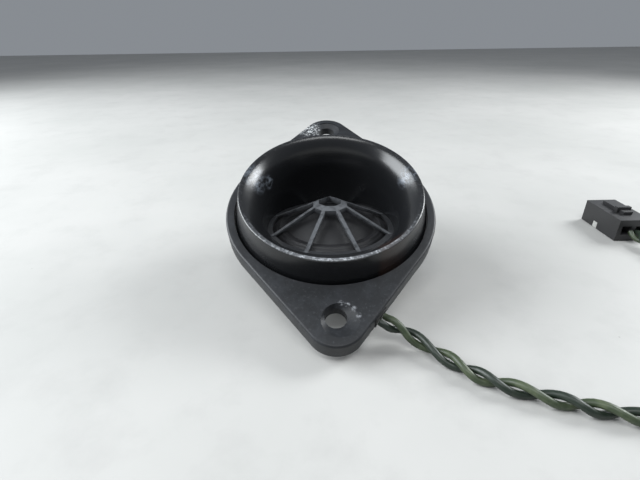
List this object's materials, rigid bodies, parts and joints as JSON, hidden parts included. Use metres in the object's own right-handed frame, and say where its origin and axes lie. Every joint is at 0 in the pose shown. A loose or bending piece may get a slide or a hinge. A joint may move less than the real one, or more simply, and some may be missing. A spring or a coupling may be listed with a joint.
{
  "type": "car tweeter",
  "caption": "Small dome tweeter for a car door or pillar, with an inclined horn bell, a spoked guard, a two-eared screw flange and a twisted lead with a connector.",
  "frame": {"origin": "centre of the object's box at the rear cover's flat underside, leaving out the lead and its connector", "axes": "+Z along the driver's axis, the way the dome fires; -Y toward the low side of the inclined flange, with the ears along Y; +X the side that the lead leaves"},
  "size_m": [0.1262, 0.0924, 0.0344],
  "materials": {
    "satin_plastic": "satin black moulding",
    "charcoal_plastic": "matte charcoal moulding with a fine grain",
    "dark_plastic": "plain dark moulding",
    "coated_cloth": "woven cloth with a damping coat",
    "foam": "closed-cell foam",
    "felt": "grey felt",
    "amber_film": "amber heat-resistant film",
    "copper_wire": "lacquered copper wire",
    "steel": "zinc-plated steel",
    "nickel": "nickel plating on sintered magnet",
    "screw_steel": "dark plated steel",
    "tinned_metal": "tin plating",
    "board": "brown laminate",
    "capacitor_sleeve": "shrunk plastic sleeve",
    "rubber_block": "soft black rubber",
    "wire_black": "smooth black wire insulation",
    "wire_green": "smooth olive green wire insulation",
    "lock_grey": "light grey moulding"
  },
  "bodies": {
    "housing": {"mounting_flange": "charcoal_plastic", "horn_bell": "satin_plastic", "spider_guard": "satin_plastic", "surround": "coated_cloth", "diaphragm_ring": "dark_plastic", "gasket_ring": "foam", "damping_felt": "felt", "pole_plate": "steel", "magnet_disc": "nickel", "yoke_cup": "steel", "rear_cover": "dark_plastic", "cover_screw_1": "screw_steel", "cover_screw_2": "screw_steel", "cover_screw_3": "screw_steel", "flange_screw_front": "screw_steel", "flange_screw_rear": "screw_steel", "terminal_board": "board", "terminal_negative": "tinned_metal", "terminal_positive": "tinned_metal", "series_capacitor": "capacitor_sleeve", "capacitor_lead_front": "tinned_metal", "capacitor_lead_rear": "tinned_metal", "coil_lead_positive": "copper_wire", "coil_lead_negative": "copper_wire", "strain_relief": "rubber_block", "lead_core_negative": "wire_black", "lead_core_positive": "wire_green", "lead_cord": "wire_green", "plug_housing": "dark_plastic", "plug_contact_1": "tinned_metal", "plug_contact_2": "tinned_metal", "plug_lock": "lock_grey"},
    "moving_assembly": {"dome": "coated_cloth", "voice_coil_former": "amber_film", "voice_coil_winding": "copper_wire"}
  },
  "joints": [
    {"name": "coil_slide", "type": "slide", "parent": "housing", "child": "moving_assembly", "axis": [0, 0, 1], "range_m": [-0.0004, 0.0004], "stiffness_N_per_m": 12000, "deforming": ["surround"]}
  ]
}
